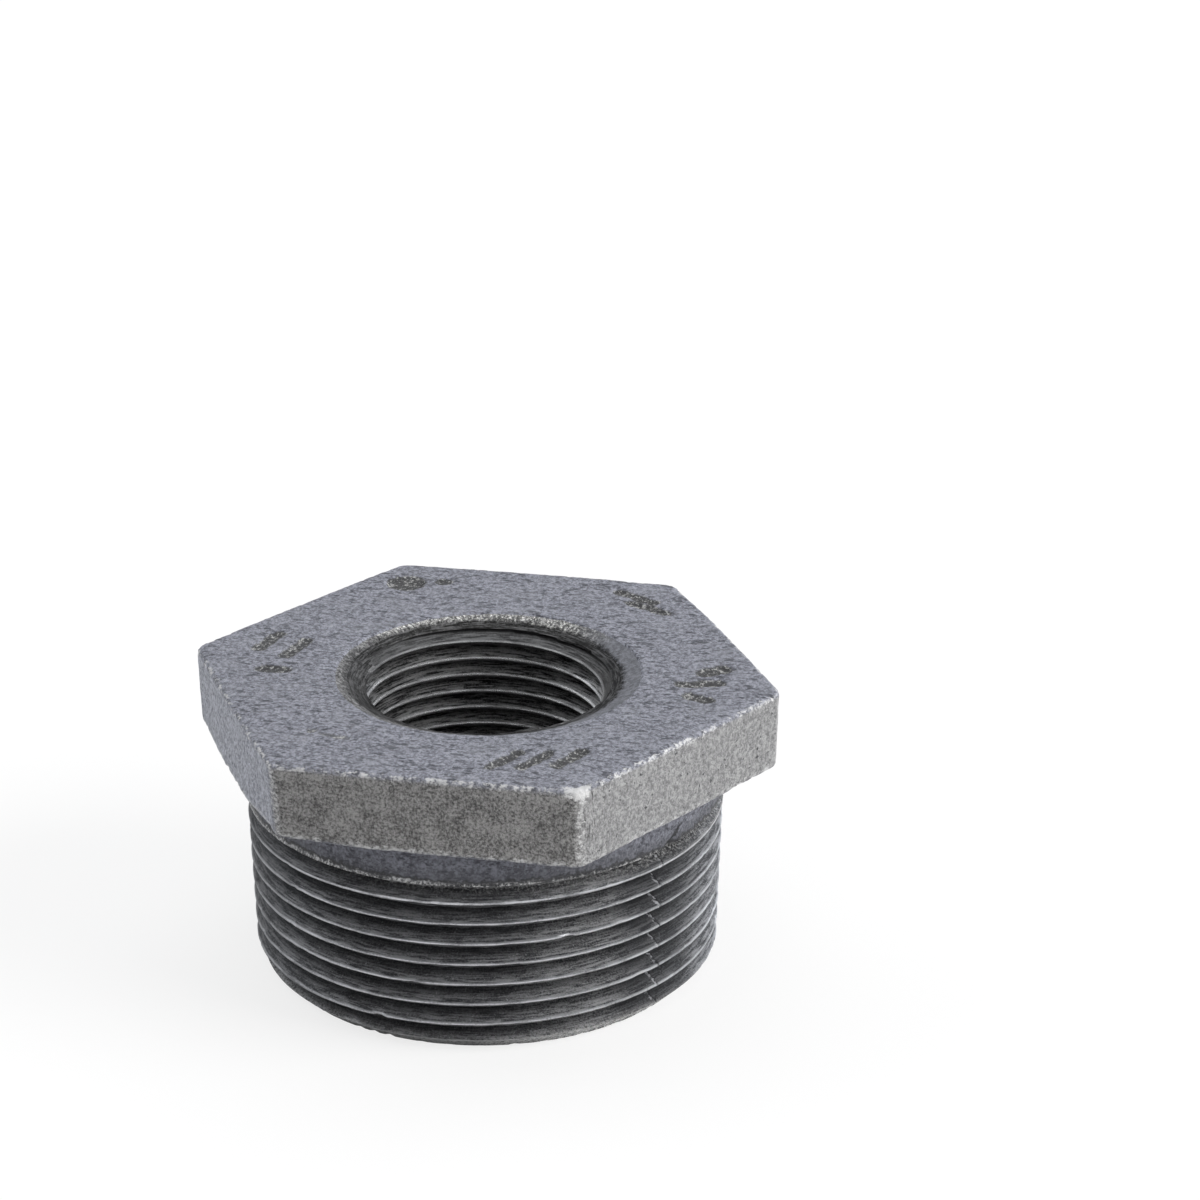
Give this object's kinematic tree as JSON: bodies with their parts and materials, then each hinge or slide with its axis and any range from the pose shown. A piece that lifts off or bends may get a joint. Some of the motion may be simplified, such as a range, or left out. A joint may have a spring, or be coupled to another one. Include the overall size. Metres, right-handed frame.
{
  "type": "hex bushing",
  "caption": "Cast iron hex bushing with a tapered male pipe thread outside and a smaller tapered female pipe thread in its bore, turned by a hexagonal head.",
  "frame": {"origin": "centre of the flat face at the male thread's end, on the axis", "axes": "+Z along the axis towards the hexagonal head, +X through a corner of the hexagon, Y square to a pair of flats"},
  "size_m": [0.06, 0.0524, 0.0307],
  "materials": {
    "cast_iron": "as-cast dark grey grain on the head, machined dark threads with bright worn crests"
  },
  "bodies": {
    "root": {"hex_bushing": "cast_iron"}
  },
  "joints": []
}
